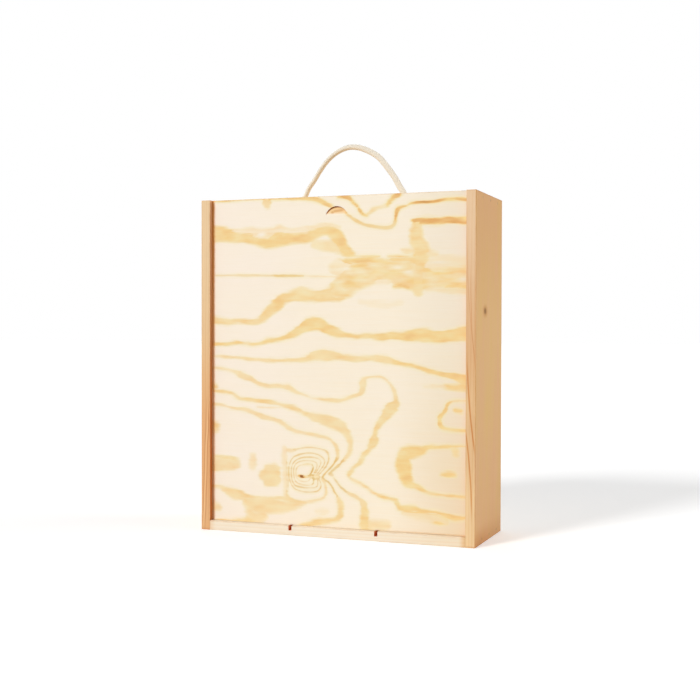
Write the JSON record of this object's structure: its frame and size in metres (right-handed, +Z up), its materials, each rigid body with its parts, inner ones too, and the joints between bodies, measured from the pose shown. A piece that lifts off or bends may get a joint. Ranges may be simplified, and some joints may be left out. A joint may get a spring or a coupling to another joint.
{
  "type": "bottle box",
  "caption": "Upright pine bottle box with a plywood lid that slides up in grooves of its side boards, dividers between its bays and a knotted cord handle on top.",
  "frame": {"origin": "centre of the box's footprint, on the surface that it stands on", "axes": "+Z up, -Y out of the lid's face, +X to the right when facing the lid"},
  "size_m": [0.296, 0.105, 0.4037],
  "materials": {
    "pine_side_board": "planed pine, unfinished, warm honey tone",
    "pine_end_board": "planed pine, unfinished, pale",
    "lid_plywood": "sanded pine plywood, unfinished, rotary-cut face veneer with honey growth rings",
    "back_plywood": "sanded pine plywood, unfinished",
    "divider_plywood": "sanded thin plywood, unfinished",
    "cord": "soft cream cotton cord",
    "steel": "bright steel pins, heads flush"
  },
  "bodies": {
    "case": {"side_board_left": "pine_side_board", "side_board_right": "pine_side_board", "bottom_board": "pine_end_board", "top_board": "pine_end_board", "back_panel": "back_plywood", "divider_left": "divider_plywood", "divider_right": "divider_plywood", "cord_end_left": "cord", "cord_end_right": "cord", "pins_top_left": "steel", "pins_top_right": "steel", "pins_bottom_left": "steel", "pins_bottom_right": "steel", "tacks_left": "steel", "tacks_right": "steel", "tacks_top": "steel", "tacks_bottom": "steel"},
    "lid": {"lid": "lid_plywood"},
    "handle": {"handle_cord": "cord"}
  },
  "joints": [
    {"name": "lid_slide", "type": "slide", "parent": "case", "child": "lid", "axis": [0, 0, 1], "range_m": [0, 0.365]},
    {"name": "handle_swing", "type": "hinge", "parent": "case", "child": "handle", "pos_m": [0, 0.0028, 0.348], "axis": [-1, 0, 0], "range_deg": [-80, 80]}
  ]
}
